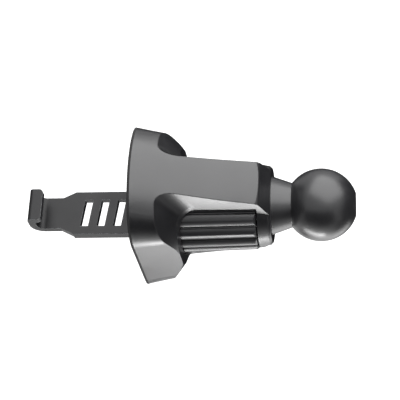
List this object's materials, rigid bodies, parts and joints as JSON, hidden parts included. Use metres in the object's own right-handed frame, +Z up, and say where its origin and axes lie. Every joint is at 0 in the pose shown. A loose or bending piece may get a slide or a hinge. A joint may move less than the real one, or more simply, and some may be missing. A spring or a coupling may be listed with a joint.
{
  "type": "air vent phone mount",
  "caption": "Car air vent mount with a screw-driven hook strap, a fluted thumb wheel and a ball head for a phone cradle.",
  "frame": {"origin": "centre of the rubber pad's face that meets the vent", "axes": "+X from the vent towards the ball, along the wheel's axis; +Z up, away from the flat face of the strap; +Y across the strap"},
  "size_m": [0.0775, 0.0296, 0.0424],
  "materials": {
    "housing_plastic": "satin moulded ABS",
    "ball_plastic": "satin moulded nylon",
    "wheel_plastic": "satin moulded ABS",
    "guide_plastic": "moulded acetal",
    "slip_plastic": "turned acetal",
    "strap_steel": "black electrocoated steel",
    "worm_steel": "turned steel",
    "screw_steel": "zinc-plated steel",
    "spring_steel": "spring steel",
    "steel_washer": "ground steel",
    "brass": "turned brass",
    "pad_rubber": "matt moulded rubber"
  },
  "bodies": {
    "housing": {"housing": "housing_plastic", "ball_stud": "ball_plastic", "stud_ring": "spring_steel", "rear_bush": "brass", "rear_thrust_washer": "steel_washer", "front_thrust_washer": "slip_plastic", "strap_guide": "guide_plastic", "guide_screw_1": "screw_steel", "guide_screw_2": "screw_steel", "guide_screw_3": "screw_steel", "guide_screw_4": "screw_steel", "vent_pad": "pad_rubber"},
    "wheel": {"thumb_wheel": "wheel_plastic", "worm_screw": "worm_steel"},
    "hook": {"hook_strap": "strap_steel"}
  },
  "joints": [
    {"name": "wheel_spin", "type": "hinge", "parent": "housing", "child": "wheel", "pos_m": [0.0196, 0, 0], "axis": [-1, 0, 0], "range_deg": [-360.5, 720.5]},
    {"name": "hook_slide", "type": "slide", "parent": "housing", "child": "hook", "axis": [1, 0, 0], "range_m": [-0.004, 0.008]}
  ],
  "couplings": [
    {"joint": "wheel_spin", "follows": "hook_slide", "rad_per_m": 1570.8}
  ]
}
